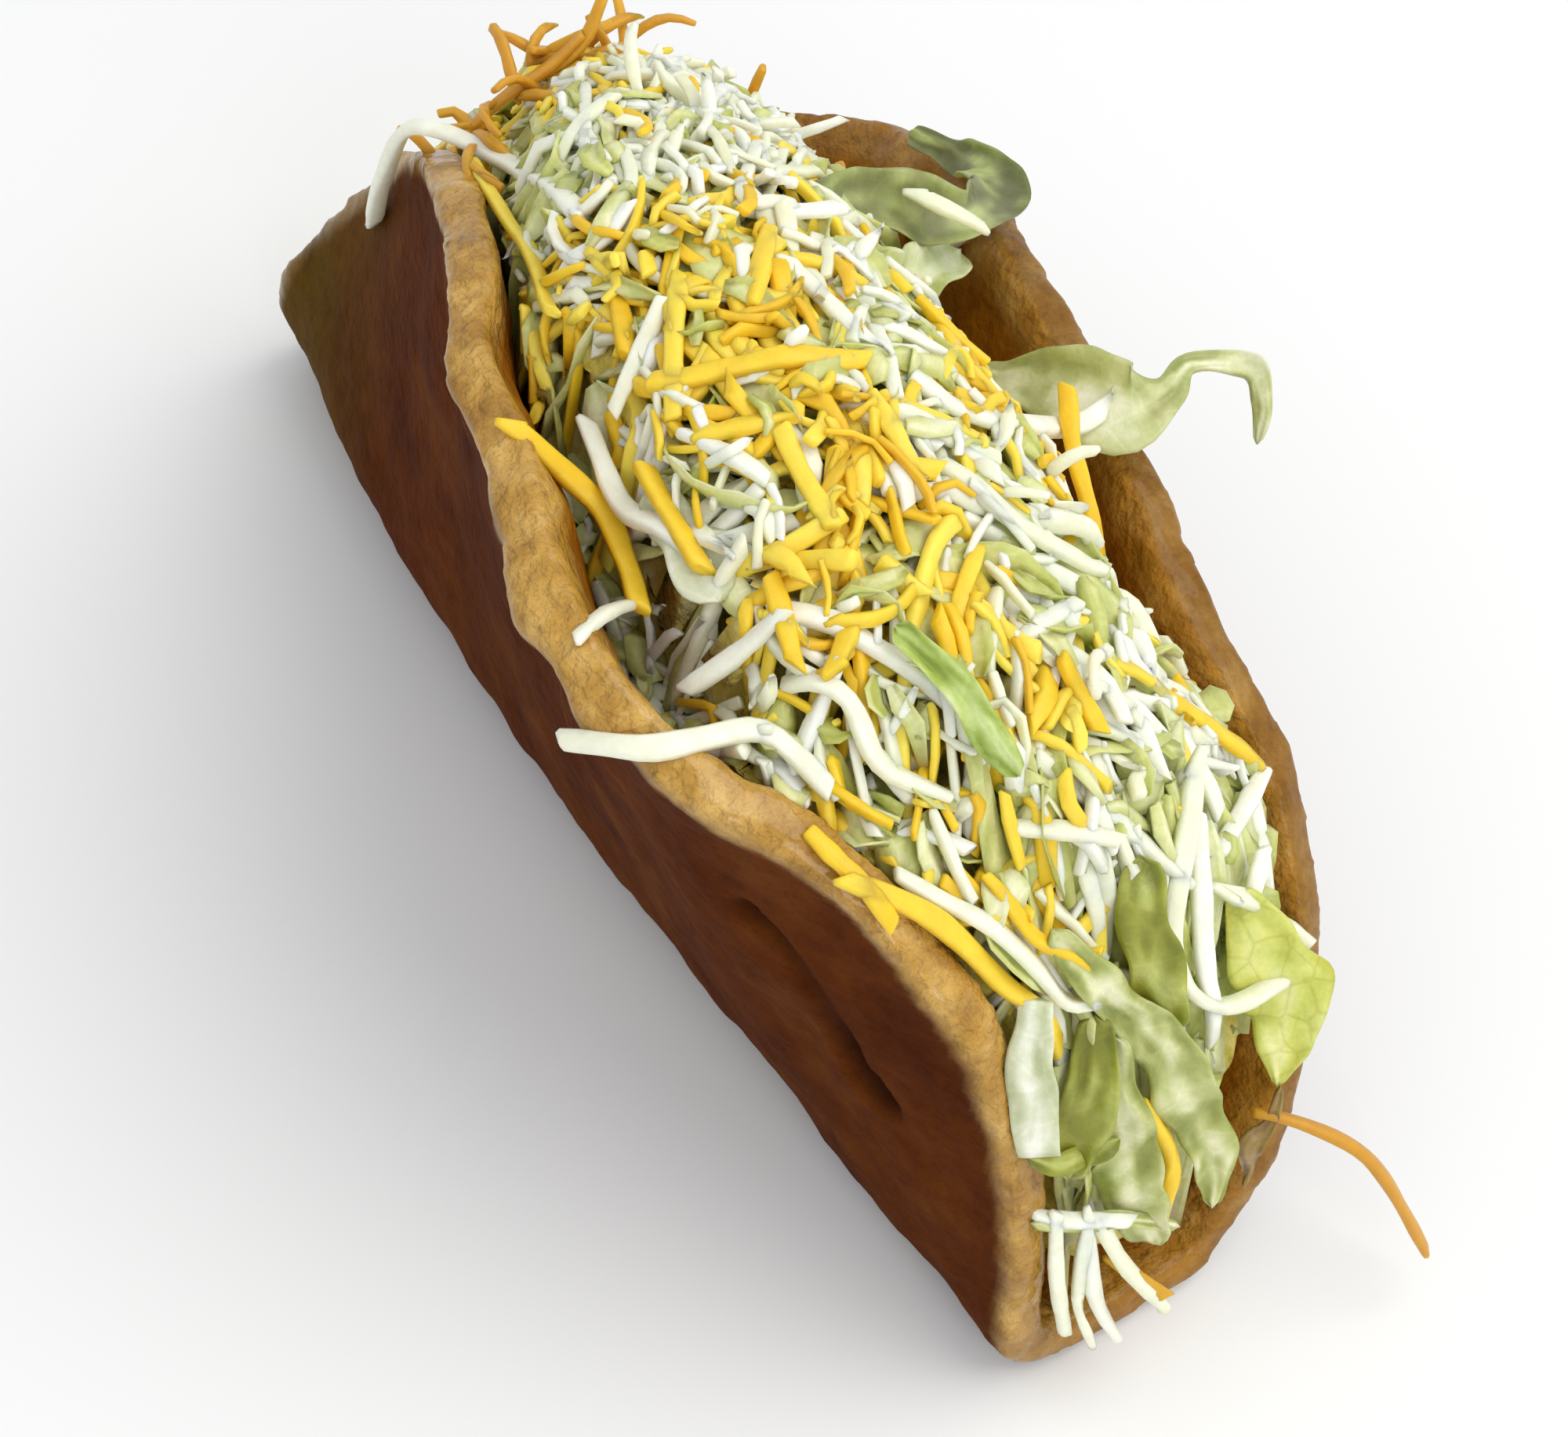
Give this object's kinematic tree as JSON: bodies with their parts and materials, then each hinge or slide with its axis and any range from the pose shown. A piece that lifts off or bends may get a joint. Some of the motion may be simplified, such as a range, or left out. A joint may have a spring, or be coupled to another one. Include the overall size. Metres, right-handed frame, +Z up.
{
  "type": "taco",
  "caption": "Folded puffy fried flatbread taco, heaped with shredded lettuce and shredded yellow and white cheese.",
  "frame": {"origin": "middle of the flat strip under the fold, on the surface it rests on", "axes": "+X along the fold towards the end where the filling is lowest, -Y towards the taller near wall, +Z up"},
  "size_m": [0.1747, 0.0921, 0.0864],
  "materials": {
    "fried_bread": "fried dough, oily sheen",
    "lettuce": "moist, translucent",
    "cheese": "satin, waxy",
    "white_cheese": "satin, waxy"
  },
  "bodies": {
    "root": {"shell": "fried_bread", "lettuce": "lettuce", "cheese": "cheese", "leaf_wing": "lettuce", "leaf_loop": "lettuce", "leaf_tip": "lettuce", "leaf_strip": "lettuce", "leaf_rib": "lettuce", "leaf_pale": "lettuce", "leaf_green": "lettuce", "leaf_olive": "lettuce"}
  },
  "joints": []
}
